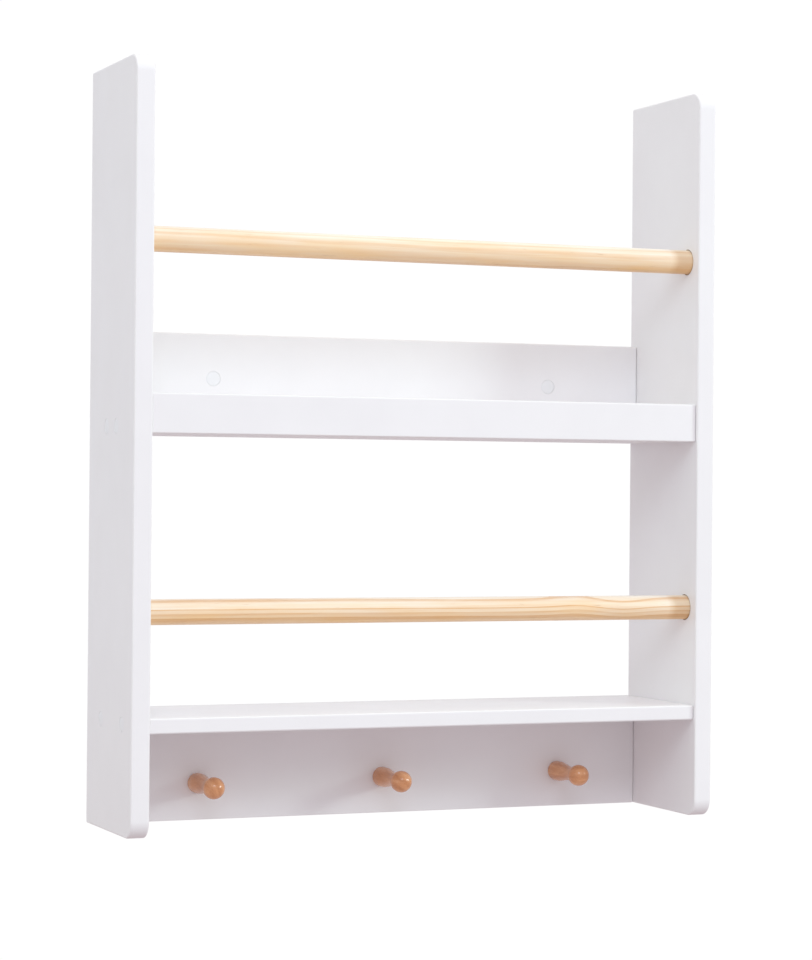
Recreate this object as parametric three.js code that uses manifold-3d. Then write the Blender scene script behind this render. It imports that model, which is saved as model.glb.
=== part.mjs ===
// Wall rack with two shelves, two round retaining rails and a row of three pegs.
// Millimetres. X runs to the right, Y runs into the wall, Z runs up.
// The origin is on the wall plane, midway between the rack's two wall screw holes.

import * as THREE from 'three';
import { mergeVertices } from 'three/addons/utils/BufferGeometryUtils.js';
import Module from 'manifold-3d';

const wasm = await Module();
wasm.setup();

// Overall size
const RACK_WIDTH = 500;
const RACK_DEPTH = 122;
const RACK_HEIGHT = 600;

// Boards
const PANEL_THICKNESS = 15;
const BOARD_THICKNESS = 12;
const PANEL_CORNER_RADIUS = 14;
const EASED_EDGE = 1.2;
const FRONT_SETBACK = 3;

// Heights above the foot of the side panels
const PEG_HEIGHT = 30;
const LOWER_SHELF_HEIGHT = 80;
const LOWER_RAIL_HEIGHT = 172.5;
const UPPER_SHELF_HEIGHT = 310;
const WALL_SCREW_HEIGHT = 357;
const UPPER_RAIL_HEIGHT = 460;
const LIP_HEIGHT = 31;
const WALL_RAIL_HEIGHT = 83.5;

// Round retaining rails, loose in blind sockets
const RAIL_RADIUS = 10;
const RAIL_FROM_FRONT = 20.5;
const RAIL_CHAMFER = 1;
const RAIL_END_PLAY = 0.5;
const SOCKET_RADIUS = 10.4;
const SOCKET_DEPTH = 8;

// Pegs
const PEG_SPACING = 161;
const PEG_FOOT_RADIUS = 8.2;
const PEG_WAIST_RADIUS = 5.6;
const PEG_WAIST_FROM_BOARD = 29;
const PEG_BALL_RADIUS = 8.8;
const PEG_BALL_NECK_RADIUS = 6.2;
const PEG_BALL_FROM_BOARD = 43;
const PEG_HOLE_DEPTH = 18;

// Fastenings: countersunk screws under press-in covers, and wooden alignment pins
const SHELF_SCREW_LENGTH = 38;
const PEG_SCREW_LENGTH = 28;
const PEG_SCREW_SUNK = 0.5;
const SCREW_RADIUS = 2;
const SCREW_POINT = 4;
const SCREW_HEAD_RADIUS = 4;
const SCREW_HEAD_RIM = 0.8;
const SCREW_HEAD_SPACE = 4;
const SCREW_DRIVE_RADIUS = 1.7;
const SCREW_DRIVE_DEPTH = 2.2;
const COVER_RADIUS = 6;
const COVER_THICKNESS = 1.6;
const COVER_EDGE = 0.4;
const COVER_STEM_RADIUS = 1.3;
const COVER_STEM_LENGTH = 1.6;
const PIN_RADIUS = 3;
const PIN_CHAMFER = 0.8;
const PIN_LENGTH = 28;
const PIN_IN_PANEL = 9;
const WALL_SCREW_SPACING = 300;
const WALL_SCREW_HOLE_RADIUS = 2.75;
const WALL_SCREW_RECESS = 6;
const CLEARANCE = 0.3;
const OVERCUT = 1;

// Worked out from the sizes above
const INNER_WIDTH = RACK_WIDTH - 2 * PANEL_THICKNESS;
const INNER_FACE_X = INNER_WIDTH / 2;
const OUTER_FACE_X = RACK_WIDTH / 2;
const FRONT_Y = -RACK_DEPTH;
const BOARD_FRONT_Y = FRONT_Y + FRONT_SETBACK;
const LIP_BACK_Y = BOARD_FRONT_Y + BOARD_THICKNESS;
const WALL_RAIL_FRONT_Y = -BOARD_THICKNESS;
const RAIL_Y = FRONT_Y + RAIL_FROM_FRONT;
const COVER_HOLE_RADIUS = COVER_RADIUS + CLEARANCE;
const COVER_HOLE_DEPTH = COVER_THICKNESS + CLEARANCE;
const SCREW_HOLE_RADIUS = SCREW_RADIUS + CLEARANCE;
const SCREW_HEAD_HOLE_RADIUS = SCREW_HEAD_RADIUS + CLEARANCE;
const SHELF_SCREW_DEPTH = SHELF_SCREW_LENGTH + COVER_HOLE_DEPTH - PANEL_THICKNESS;
const PIN_HOLE_RADIUS = PIN_RADIUS + CLEARANCE;
const PIN_IN_BOARD = PIN_LENGTH - PIN_IN_PANEL;

// Round pieces get as many sides as their size calls for.
const RAIL_SIDES = 48;
const COVER_SIDES = 24;
const HEAD_SIDES = 16;
const SHANK_SIDES = 12;

const WHITE_LACQUER = { color: 0xf3f2f5, roughness: 0.45, metalness: 0 };
const PINE = { color: 0xf0cf9c, roughness: 0.55, metalness: 0 };
const BEECH = { color: 0xc98d60, roughness: 0.3, metalness: 0 };
const PIN_WOOD = { color: 0xd9b98a, roughness: 0.7, metalness: 0 };
const ZINC_STEEL = { color: 0xb9bcc2, roughness: 0.35, metalness: 1 };
const WHITE_PLASTIC = { color: 0xf1f1f3, roughness: 0.4, metalness: 0 };

const SIDES = [
  { side: 'left', sign: -1 },
  { side: 'right', sign: 1 },
];

// Screws that run along X through the side panels into the shelf boards.
const SHELF_SCREWS = [
  { shelf: 'upper_shelf', end: 'front', fromFront: 47, height: UPPER_SHELF_HEIGHT },
  { shelf: 'upper_shelf', end: 'back', fromFront: 73, height: UPPER_SHELF_HEIGHT },
  { shelf: 'lower_shelf', end: 'front', fromFront: 26, height: LOWER_SHELF_HEIGHT },
  { shelf: 'lower_shelf', end: 'back', fromFront: 82, height: LOWER_SHELF_HEIGHT },
].map((screw) => ({
  ...screw,
  y: FRONT_Y + screw.fromFront,
  z: screw.height + BOARD_THICKNESS / 2,
}));

// Wooden pins that run along X between the side panels and the upright boards.
const BACK_BOARD_MIDDLE_Y = -BOARD_THICKNESS / 2;
const PINS = [
  { board: 'lip', name: 'lip_pin', y: LIP_BACK_Y - BOARD_THICKNESS / 2, z: UPPER_SHELF_HEIGHT + 15 },
  { board: 'wall_rail', name: 'wall_rail_pin_low', y: BACK_BOARD_MIDDLE_Y, z: UPPER_SHELF_HEIGHT + 20 },
  { board: 'wall_rail', name: 'wall_rail_pin_high', y: BACK_BOARD_MIDDLE_Y, z: UPPER_SHELF_HEIGHT + 62 },
  { board: 'peg_board', name: 'peg_board_pin_low', y: BACK_BOARD_MIDDLE_Y, z: 20 },
  { board: 'peg_board', name: 'peg_board_pin_high', y: BACK_BOARD_MIDDLE_Y, z: 60 },
];

const PEGS = [
  { place: 'left', x: -PEG_SPACING },
  { place: 'middle', x: 0 },
  { place: 'right', x: PEG_SPACING },
];

const rack = new THREE.Group();
rack.position.z = -WALL_SCREW_HEIGHT;
const group = new THREE.Group();
group.add(rack);

function addPiece(name, geometry, finish, position = [0, 0, 0]) {
  const mesh = new THREE.Mesh(geometry, new THREE.MeshStandardMaterial(finish));
  mesh.name = name;
  mesh.position.set(...position);
  rack.add(mesh);
}

// ---- Solids and cuts

function toSolid(geometry) {
  const bare = geometry.clone();
  bare.deleteAttribute('normal');
  bare.deleteAttribute('uv');
  const merged = mergeVertices(bare, 1e-4);
  const vertProperties = new Float32Array(merged.attributes.position.array);
  const triVerts = new Uint32Array(merged.index.array);
  return new wasm.Manifold(new wasm.Mesh({ numProp: 3, vertProperties, triVerts }));
}

function toGeometry(solid) {
  const mesh = solid.getMesh();
  const geometry = new THREE.BufferGeometry();
  geometry.setAttribute('position', new THREE.BufferAttribute(mesh.vertProperties, 3));
  geometry.setIndex(new THREE.BufferAttribute(mesh.triVerts, 1));
  geometry.computeVertexNormals();
  return geometry;
}

function drill(blank, holes) {
  let solid = toSolid(blank);
  for (const hole of holes) {
    solid = solid.subtract(toSolid(hole));
  }
  return toGeometry(solid);
}

// A round cutter along X, from x0 to x1.
function holeAlongX(x0, x1, y, z, radius, sides) {
  const hole = new THREE.CylinderGeometry(radius, radius, Math.abs(x1 - x0), sides);
  hole.rotateZ(Math.PI / 2);
  hole.translate((x0 + x1) / 2, y, z);
  return hole;
}

// A round cutter along Y, from y0 to y1.
function holeAlongY(x, y0, y1, z, radius, sides) {
  const hole = new THREE.CylinderGeometry(radius, radius, Math.abs(y1 - y0), sides);
  hole.translate(x, (y0 + y1) / 2, z);
  return hole;
}

// ---- Boards

// A rectangle in the Y-Z plane with its own radius at each corner. The radii go
// round in the order low front, low back, high back, high front.
function sectionShape(y0, y1, z0, z1, radii) {
  const [lowFront, lowBack, highBack, highFront] = radii;
  const corners = [
    { y: y1 - lowBack, z: z0 + lowBack, radius: lowBack, start: -Math.PI / 2 },
    { y: y1 - highBack, z: z1 - highBack, radius: highBack, start: 0 },
    { y: y0 + highFront, z: z1 - highFront, radius: highFront, start: Math.PI / 2 },
    { y: y0 + lowFront, z: z0 + lowFront, radius: lowFront, start: Math.PI },
  ];
  const shape = new THREE.Shape();
  shape.moveTo(y0 + lowFront, z0);
  for (const { y, z, radius, start } of corners) {
    shape.lineTo(y + radius * Math.cos(start), z + radius * Math.sin(start));
    if (radius > 0) {
      shape.absarc(y, z, radius, start, start + Math.PI / 2, false);
    }
  }
  return shape;
}

// Extrudes a Y-Z outline along X, centred on the given X.
function extrudeAlongX(shape, length, centreX, bevel, curveSegments) {
  const options = {
    depth: length - 2 * bevel,
    steps: 1,
    bevelEnabled: bevel > 0,
    bevelThickness: bevel,
    bevelSize: bevel,
    bevelOffset: -bevel,
    bevelSegments: 2,
    curveSegments,
  };
  const geometry = new THREE.ExtrudeGeometry(shape, options);
  geometry.applyMatrix4(new THREE.Matrix4().makeBasis(
    new THREE.Vector3(0, 1, 0),
    new THREE.Vector3(0, 0, 1),
    new THREE.Vector3(1, 0, 0),
  ));
  geometry.translate(centreX - options.depth / 2, 0, 0);
  return geometry;
}

// A board that spans between the side panels, with the given corners eased.
function boardBlank(y0, y1, z0, height, eased) {
  const radii = eased.map((isEased) => (isEased ? EASED_EDGE : 0));
  const shape = sectionShape(y0, y1, z0, z0 + height, radii);
  return extrudeAlongX(shape, INNER_WIDTH, 0, 0, 3);
}

// Blind holes along X in both ends of a board.
function endHoles({ y, z }, radius, depth) {
  return SIDES.map(({ sign }) => {
    const floorX = sign * (INNER_FACE_X - depth - CLEARANCE);
    const mouthX = sign * (INNER_FACE_X + OVERCUT);
    return holeAlongX(floorX, mouthX, y, z, radius, SHANK_SIDES);
  });
}

function shelfScrewHoles(shelf) {
  return SHELF_SCREWS
    .filter((screw) => screw.shelf === shelf)
    .flatMap((screw) => endHoles(screw, SCREW_HOLE_RADIUS, SHELF_SCREW_DEPTH));
}

function pinHoles(board) {
  return PINS
    .filter((pin) => pin.board === board)
    .flatMap((pin) => endHoles(pin, PIN_HOLE_RADIUS, PIN_IN_BOARD));
}

function upperShelfBoard() {
  const eased = [false, false, false, false];
  const blank = boardBlank(LIP_BACK_Y, WALL_RAIL_FRONT_Y, UPPER_SHELF_HEIGHT, BOARD_THICKNESS, eased);
  return drill(blank, shelfScrewHoles('upper_shelf'));
}

function upperShelfLip() {
  const eased = [true, false, true, true];
  const blank = boardBlank(BOARD_FRONT_Y, LIP_BACK_Y, UPPER_SHELF_HEIGHT, LIP_HEIGHT, eased);
  return drill(blank, pinHoles('lip'));
}

// Each wall screw hole has a recess for the screw's head, under a cover.
function wallScrewHoles() {
  const mouthY = WALL_RAIL_FRONT_Y - OVERCUT;
  const recessFloorY = WALL_RAIL_FRONT_Y + WALL_SCREW_RECESS;
  return SIDES.flatMap(({ sign }) => {
    const x = sign * WALL_SCREW_SPACING / 2;
    return [
      holeAlongY(x, mouthY, recessFloorY, WALL_SCREW_HEIGHT, COVER_HOLE_RADIUS, COVER_SIDES),
      holeAlongY(x, mouthY, OVERCUT, WALL_SCREW_HEIGHT, WALL_SCREW_HOLE_RADIUS, HEAD_SIDES),
    ];
  });
}

function wallRail() {
  const eased = [false, true, true, true];
  const blank = boardBlank(WALL_RAIL_FRONT_Y, 0, UPPER_SHELF_HEIGHT, WALL_RAIL_HEIGHT, eased);
  return drill(blank, [...pinHoles('wall_rail'), ...wallScrewHoles()]);
}

function lowerShelfBoard() {
  const eased = [true, false, true, true];
  const blank = boardBlank(BOARD_FRONT_Y, 0, LOWER_SHELF_HEIGHT, BOARD_THICKNESS, eased);
  return drill(blank, shelfScrewHoles('lower_shelf'));
}

function pegScrewHoles() {
  const headFloorY = -PEG_SCREW_SUNK - SCREW_HEAD_SPACE;
  const frontY = -BOARD_THICKNESS - OVERCUT;
  return PEGS.flatMap(({ x }) => [
    holeAlongY(x, headFloorY, OVERCUT, PEG_HEIGHT, SCREW_HEAD_HOLE_RADIUS, HEAD_SIDES),
    holeAlongY(x, frontY, OVERCUT, PEG_HEIGHT, SCREW_HOLE_RADIUS, SHANK_SIDES),
  ]);
}

// The peg board hangs under the lower shelf, against the wall.
function pegBoard() {
  const eased = [true, true, false, false];
  const blank = boardBlank(-BOARD_THICKNESS, 0, 0, LOWER_SHELF_HEIGHT, eased);
  return drill(blank, [...pinHoles('peg_board'), ...pegScrewHoles()]);
}

// ---- Side panels

// Stepped holes from the outside: a recess for the cover, room for the screw's
// head, and the shank's clearance hole right through.
function panelScrewHoles(sign) {
  const mouthX = sign * (OUTER_FACE_X + OVERCUT);
  const recessFloorX = sign * (OUTER_FACE_X - COVER_HOLE_DEPTH);
  const headFloorX = sign * (OUTER_FACE_X - COVER_HOLE_DEPTH - SCREW_HEAD_SPACE);
  const insideX = sign * (INNER_FACE_X - OVERCUT);
  return SHELF_SCREWS.flatMap(({ y, z }) => [
    holeAlongX(recessFloorX, mouthX, y, z, COVER_HOLE_RADIUS, COVER_SIDES),
    holeAlongX(headFloorX, mouthX, y, z, SCREW_HEAD_HOLE_RADIUS, HEAD_SIDES),
    holeAlongX(insideX, mouthX, y, z, SCREW_HOLE_RADIUS, SHANK_SIDES),
  ]);
}

function panelPinHoles(sign) {
  const mouthX = sign * (INNER_FACE_X - OVERCUT);
  const floorX = sign * (INNER_FACE_X + PIN_IN_PANEL + CLEARANCE);
  return PINS.map(({ y, z }) => holeAlongX(mouthX, floorX, y, z, PIN_HOLE_RADIUS, SHANK_SIDES));
}

function railSockets(sign) {
  const mouthX = sign * (INNER_FACE_X - OVERCUT);
  const floorX = sign * (INNER_FACE_X + SOCKET_DEPTH);
  const heights = [LOWER_RAIL_HEIGHT, UPPER_RAIL_HEIGHT];
  return heights.map((z) => holeAlongX(mouthX, floorX, RAIL_Y, z, SOCKET_RADIUS, RAIL_SIDES));
}

// Square at the wall, rounded at the front, and eased all round.
function sidePanel(sign) {
  const radii = [PANEL_CORNER_RADIUS, 0, 0, PANEL_CORNER_RADIUS];
  const outline = sectionShape(FRONT_Y, 0, 0, RACK_HEIGHT, radii);
  const centreX = sign * (INNER_FACE_X + PANEL_THICKNESS / 2);
  const blank = extrudeAlongX(outline, PANEL_THICKNESS, centreX, EASED_EDGE, 8);
  return drill(blank, [...panelScrewHoles(sign), ...panelPinHoles(sign), ...railSockets(sign)]);
}

// ---- Turned pieces, each on the lathe's Y axis

function turn(points, sides) {
  return new THREE.LatheGeometry(points.map(([r, y]) => new THREE.Vector2(r, y)), sides);
}

// A plain rod with chamfered ends, centred on the origin.
function rod(length, radius, chamfer, sides) {
  const half = length / 2;
  return turn([
    [0, -half],
    [radius - chamfer, -half],
    [radius, -half + chamfer],
    [radius, half - chamfer],
    [radius - chamfer, half],
    [0, half],
  ], sides);
}

function roundRail() {
  const length = INNER_WIDTH + 2 * (SOCKET_DEPTH - RAIL_END_PLAY);
  const rail = rod(length, RAIL_RADIUS, RAIL_CHAMFER, RAIL_SIDES);
  rail.rotateZ(-Math.PI / 2);
  return rail;
}

// A bell-shaped foot with a screw hole, a waist and a ball, standing on Y = 0.
function peg() {
  const ballStart = -Math.acos(PEG_BALL_NECK_RADIUS / PEG_BALL_RADIUS);
  const ball = new THREE.Path();
  ball.absarc(0, PEG_BALL_FROM_BOARD, PEG_BALL_RADIUS, ballStart, Math.PI / 2, false);
  const neck = new THREE.SplineCurve([
    new THREE.Vector2(PEG_FOOT_RADIUS, 2),
    new THREE.Vector2(PEG_FOOT_RADIUS, 8),
    new THREE.Vector2(PEG_WAIST_RADIUS + 0.9, 19),
    new THREE.Vector2(PEG_WAIST_RADIUS, PEG_WAIST_FROM_BOARD),
    ball.getPoint(0),
  ]);
  const geometry = turn([
    [0, PEG_HOLE_DEPTH],
    [SCREW_HOLE_RADIUS, PEG_HOLE_DEPTH],
    [SCREW_HOLE_RADIUS, 0],
    [PEG_FOOT_RADIUS - 1, 0],
    ...neck.getPoints(8).map(({ x, y }) => [x, y]),
    ...ball.getPoints(8).slice(1, -1).map(({ x, y }) => [x, y]),
    [0, PEG_BALL_FROM_BOARD + PEG_BALL_RADIUS],
  ], COVER_SIDES);
  geometry.rotateX(Math.PI);
  return geometry;
}

// A countersunk screw with a drive recess, its head at Y = 0 and its point below.
function screw(length) {
  const coneEnd = SCREW_HEAD_RIM + SCREW_HEAD_RADIUS - SCREW_RADIUS;
  return turn([
    [0, -length],
    [SCREW_RADIUS, -length + SCREW_POINT],
    [SCREW_RADIUS, -coneEnd],
    [SCREW_HEAD_RADIUS, -SCREW_HEAD_RIM],
    [SCREW_HEAD_RADIUS, 0],
    [SCREW_DRIVE_RADIUS, 0],
    [SCREW_DRIVE_RADIUS, -SCREW_DRIVE_DEPTH],
    [0, -SCREW_DRIVE_DEPTH],
  ], SHANK_SIDES);
}

// A press-in cover: a thin disc with a stem behind it, its face at Y = 0.
function cover() {
  const stemEnd = -COVER_THICKNESS - COVER_STEM_LENGTH;
  return turn([
    [0, stemEnd],
    [COVER_STEM_RADIUS, stemEnd],
    [COVER_STEM_RADIUS, -COVER_THICKNESS],
    [COVER_RADIUS, -COVER_THICKNESS],
    [COVER_RADIUS, -COVER_EDGE],
    [COVER_RADIUS - COVER_EDGE, 0],
    [0, 0],
  ], COVER_SIDES);
}

// ---- The assembly

addPiece('upper_shelf_board', upperShelfBoard(), WHITE_LACQUER);
addPiece('upper_shelf_lip', upperShelfLip(), WHITE_LACQUER);
addPiece('wall_rail', wallRail(), WHITE_LACQUER);
addPiece('lower_shelf_board', lowerShelfBoard(), WHITE_LACQUER);
addPiece('peg_board', pegBoard(), WHITE_LACQUER);
addPiece('rail_upper', roundRail(), PINE, [0, RAIL_Y, UPPER_RAIL_HEIGHT]);
addPiece('rail_lower', roundRail(), PINE, [0, RAIL_Y, LOWER_RAIL_HEIGHT]);

for (const { place, x } of PEGS) {
  addPiece(`peg_${place}`, peg(), BEECH, [x, -BOARD_THICKNESS, PEG_HEIGHT]);
  const screwPosition = [x, -PEG_SCREW_SUNK, PEG_HEIGHT];
  addPiece(`peg_screw_${place}`, screw(PEG_SCREW_LENGTH), ZINC_STEEL, screwPosition);
}

for (const { side, sign } of SIDES) {
  const outwards = -sign * Math.PI / 2;
  addPiece(`side_panel_${side}`, sidePanel(sign), WHITE_LACQUER);

  for (const { shelf, end, y, z } of SHELF_SCREWS) {
    const screwPosition = [sign * (OUTER_FACE_X - COVER_HOLE_DEPTH), y, z];
    const coverPosition = [sign * OUTER_FACE_X, y, z];
    const screwGeometry = screw(SHELF_SCREW_LENGTH).rotateZ(outwards);
    const coverGeometry = cover().rotateZ(outwards);
    addPiece(`${shelf}_screw_${end}_${side}`, screwGeometry, ZINC_STEEL, screwPosition);
    addPiece(`${shelf}_cover_${end}_${side}`, coverGeometry, WHITE_PLASTIC, coverPosition);
  }

  for (const { name, y, z } of PINS) {
    const pinX = sign * (INNER_FACE_X + PIN_IN_PANEL - PIN_LENGTH / 2);
    const pinGeometry = rod(PIN_LENGTH, PIN_RADIUS, PIN_CHAMFER, SHANK_SIDES).rotateZ(outwards);
    addPiece(`${name}_${side}`, pinGeometry, PIN_WOOD, [pinX, y, z]);
  }

  const wallCoverPosition = [sign * WALL_SCREW_SPACING / 2, WALL_RAIL_FRONT_Y, WALL_SCREW_HEIGHT];
  addPiece(`wall_screw_cover_${side}`, cover().rotateX(Math.PI), WHITE_PLASTIC, wallCoverPosition);
}

export default group;
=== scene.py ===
"""Wall rack: white lacquered boards, pine rails that turn in blind sockets, turned beech pegs.

Metres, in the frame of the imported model: X to the right, Y into the wall, Z up.
"""
import math

import bmesh
import bpy
from mathutils import Matrix, Vector


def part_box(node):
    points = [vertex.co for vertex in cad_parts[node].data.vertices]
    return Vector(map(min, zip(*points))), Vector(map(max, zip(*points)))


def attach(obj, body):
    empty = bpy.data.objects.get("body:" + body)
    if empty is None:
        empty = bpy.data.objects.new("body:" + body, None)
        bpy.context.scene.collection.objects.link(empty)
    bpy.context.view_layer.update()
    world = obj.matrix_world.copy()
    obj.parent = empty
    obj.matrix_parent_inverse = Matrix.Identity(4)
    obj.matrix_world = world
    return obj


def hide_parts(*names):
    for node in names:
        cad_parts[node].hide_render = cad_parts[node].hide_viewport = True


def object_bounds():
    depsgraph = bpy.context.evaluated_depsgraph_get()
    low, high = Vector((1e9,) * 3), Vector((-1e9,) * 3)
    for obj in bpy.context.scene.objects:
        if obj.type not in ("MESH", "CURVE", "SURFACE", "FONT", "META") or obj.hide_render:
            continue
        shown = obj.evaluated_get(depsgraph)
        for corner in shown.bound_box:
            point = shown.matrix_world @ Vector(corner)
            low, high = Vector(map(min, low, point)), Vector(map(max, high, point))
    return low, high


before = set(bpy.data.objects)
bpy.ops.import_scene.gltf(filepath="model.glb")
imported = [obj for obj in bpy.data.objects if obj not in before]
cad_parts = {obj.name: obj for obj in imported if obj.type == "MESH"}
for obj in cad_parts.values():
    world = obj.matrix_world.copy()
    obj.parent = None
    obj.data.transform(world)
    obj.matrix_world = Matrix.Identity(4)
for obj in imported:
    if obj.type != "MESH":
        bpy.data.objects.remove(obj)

CAD_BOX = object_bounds()
CAD_LOW, CAD_HIGH = (Vector(corner) for corner in CAD_BOX)
SCENE = bpy.context.scene
MM = 0.001
UP = Vector((0, 0, 1))

# ---------------------------------------------------------------- camera

# Fitted so that the CAD's corners fall on the photo's.
CAMERA_PLACE = (-0.8632, -2.1355, -0.0879)
CAMERA_YAW = math.radians(22.58)
CAMERA_PITCH = math.radians(0.184)
CAMERA_ROLL = math.radians(0.495)
CAMERA_LENS_MM = 103.4
CAMERA_SENSOR_MM = 36.0


def add_camera():
    """A level camera turned to the right, with a slight roll."""
    level_right = Vector((math.cos(CAMERA_YAW), -math.sin(CAMERA_YAW), 0))
    level_ahead = Vector((math.sin(CAMERA_YAW), math.cos(CAMERA_YAW), 0))
    ahead = level_ahead * math.cos(CAMERA_PITCH) + UP * math.sin(CAMERA_PITCH)
    tilted_up = UP * math.cos(CAMERA_PITCH) - level_ahead * math.sin(CAMERA_PITCH)
    right = level_right * math.cos(CAMERA_ROLL) + tilted_up * math.sin(CAMERA_ROLL)
    rolled_up = tilted_up * math.cos(CAMERA_ROLL) - level_right * math.sin(CAMERA_ROLL)
    axes = Matrix((right, rolled_up, -ahead)).transposed()
    data = bpy.data.cameras.new("camera")
    data.sensor_width = CAMERA_SENSOR_MM
    data.lens = CAMERA_LENS_MM
    camera = bpy.data.objects.new("camera", data)
    camera.matrix_world = Matrix.Translation(CAMERA_PLACE) @ axes.to_4x4()
    SCENE.collection.objects.link(camera)
    SCENE.camera = camera


add_camera()

# ---------------------------------------------------------------- node graphs


class Graph:
    """Builds a node tree: each method adds a node and returns its output.

    An input may be another node's output or a plain number, colour or vector.
    """

    def __init__(self, tree):
        self.tree = tree
        tree.nodes.clear()

    def node(self, kind, **settings):
        made = self.tree.nodes.new(kind)
        for name, value in settings.items():
            setattr(made, name, value)
        return made

    def join(self, source, socket):
        if isinstance(source, bpy.types.NodeSocket):
            self.tree.links.new(source, socket)
        else:
            socket.default_value = source

    def place(self):
        return self.node("ShaderNodeTexCoord").outputs["Object"]

    def mapping(self, vector, scale=(1, 1, 1), shift=(0, 0, 0), turn=(0, 0, 0)):
        made = self.node("ShaderNodeMapping")
        self.join(vector, made.inputs["Vector"])
        made.inputs["Location"].default_value = shift
        made.inputs["Rotation"].default_value = turn
        made.inputs["Scale"].default_value = scale
        return made.outputs["Vector"]

    def split(self, vector):
        made = self.node("ShaderNodeSeparateXYZ")
        self.join(vector, made.inputs[0])
        return made.outputs["X"], made.outputs["Y"], made.outputs["Z"]

    def merge(self, x, y, z):
        made = self.node("ShaderNodeCombineXYZ")
        for source, socket in zip((x, y, z), made.inputs):
            self.join(source, socket)
        return made.outputs[0]

    def math(self, operation, a, b=0.0, c=0.0):
        made = self.node("ShaderNodeMath", operation=operation)
        for source, socket in zip((a, b, c), made.inputs):
            self.join(source, socket)
        return made.outputs[0]

    def noise(self, vector, scale, detail=2.0, roughness=0.5):
        made = self.node("ShaderNodeTexNoise")
        self.join(vector, made.inputs["Vector"])
        made.inputs["Scale"].default_value = scale
        made.inputs["Detail"].default_value = detail
        made.inputs["Roughness"].default_value = roughness
        return made.outputs["Fac"]

    def voronoi(self, vector, scale):
        made = self.node("ShaderNodeTexVoronoi")
        self.join(vector, made.inputs["Vector"])
        made.inputs["Scale"].default_value = scale
        return made.outputs["Distance"]

    def span(self, value, low, high, to_low=0.0, to_high=1.0):
        made = self.node("ShaderNodeMapRange", clamp=True)
        numbers = (value, low, high, to_low, to_high)
        for source, socket in zip(numbers, made.inputs):
            self.join(source, socket)
        return made.outputs["Result"]

    def ramp(self, factor, stops):
        made = self.node("ShaderNodeValToRGB")
        self.join(factor, made.inputs["Fac"])
        elements = made.color_ramp.elements
        while len(elements) < len(stops):
            elements.new(0.5)
        for element, (position, colour) in zip(elements, stops):
            element.position = position
            element.color = (*colour, 1)
        return made.outputs["Color"]

    def mix(self, factor, a, b, blend="MIX"):
        made = self.node("ShaderNodeMix", data_type="RGBA", blend_type=blend)
        self.join(factor, made.inputs[0])
        for source, socket in ((a, made.inputs[6]), (b, made.inputs[7])):
            if not isinstance(source, bpy.types.NodeSocket):
                source = (*source, 1)
            self.join(source, socket)
        return made.outputs[2]

    def bump(self, height, distance):
        made = self.node("ShaderNodeBump")
        self.join(height, made.inputs["Height"])
        made.inputs["Distance"].default_value = distance
        made.inputs["Strength"].default_value = 1.0
        return made.outputs["Normal"]

    def surface(self, colour, roughness, normal, **sockets):
        shader = self.node("ShaderNodeBsdfPrincipled")
        self.join(colour, shader.inputs["Base Color"])
        self.join(roughness, shader.inputs["Roughness"])
        self.join(normal, shader.inputs["Normal"])
        for name, value in sockets.items():
            shader.inputs[name.replace("_", " ")].default_value = value
        output = self.node("ShaderNodeOutputMaterial")
        self.join(shader.outputs[0], output.inputs["Surface"])


def new_material(name):
    material = bpy.data.materials.new(name)
    material.use_nodes = True
    return material, Graph(material.node_tree)


# ---------------------------------------------------------------- finishes

LACQUER = (0.885, 0.870, 0.880)
LACQUER_SHADE = (0.868, 0.852, 0.862)
LACQUER_EDGE = (0.895, 0.880, 0.885)


def lacquer(name, colour, shade, peel, rough):
    """Sprayed satin lacquer on fibreboard: faint mottling, orange peel and roughness drift."""
    material, graph = new_material(name)
    place = graph.place()
    mottle = graph.noise(place, 14, detail=3, roughness=0.6)
    tone = graph.mix(graph.span(mottle, 0.35, 0.65), colour, shade)
    specks = graph.span(graph.voronoi(place, 260), 0.0, 0.045, 1.0, 0.0)
    rare = graph.span(graph.noise(place, 90, detail=1), 0.62, 0.7)
    dust = graph.math("MULTIPLY", graph.math("MULTIPLY", specks, rare), 0.25)
    tone = graph.mix(dust, tone, (0.72, 0.70, 0.69))
    drift = graph.noise(graph.mapping(place, scale=(1, 1, 0.4)), 45, detail=4, roughness=0.65)
    roughness = graph.span(drift, 0.3, 0.7, rough - 0.05, rough + 0.07)
    orange_peel = graph.noise(place, 420, detail=2, roughness=0.45)
    grain = graph.noise(place, 1900, detail=1)
    height = graph.math("ADD", orange_peel, graph.math("MULTIPLY", grain, 0.15))
    normal = graph.bump(height, peel)
    graph.surface(tone, roughness, normal, Coat_Weight=0.12, Coat_Roughness=0.22)
    return material


def raw_fibreboard():
    """The bare board inside drilled holes: brown felted fibres."""
    material, graph = new_material("raw_fibreboard")
    place = graph.place()
    fibre = graph.noise(place, 1300, detail=5, roughness=0.75)
    layer = graph.noise(graph.mapping(place, scale=(3, 1, 1)), 160, detail=3)
    blend = graph.math("MULTIPLY_ADD", layer, 0.4, graph.math("MULTIPLY", fibre, 0.6))
    colour = graph.ramp(blend, [
        (0.30, (0.20, 0.125, 0.070)),
        (0.50, (0.34, 0.225, 0.135)),
        (0.72, (0.50, 0.360, 0.230)),
    ])
    normal = graph.bump(fibre, 0.00012)
    graph.surface(colour, graph.span(layer, 0.3, 0.7, 0.82, 0.95), normal)
    return material


# The pines' colours, with a painted sheen on top and a painted shadow at the right end, and
# how far from the right end and from the middle they change.
PINE_PAINTED_SHEEN = (0.955, 0.875, 0.755)
PINE_WARM = (0.985, 0.670, 0.320)
PINE_LATE = (0.740, 0.390, 0.130)
PINE_PAINTED_SHADOW = (0.800, 0.660, 0.480)
PAINTED_SHADOW_LENGTH = 17 * MM
SHEEN_FADE = 8.5 * MM


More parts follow.
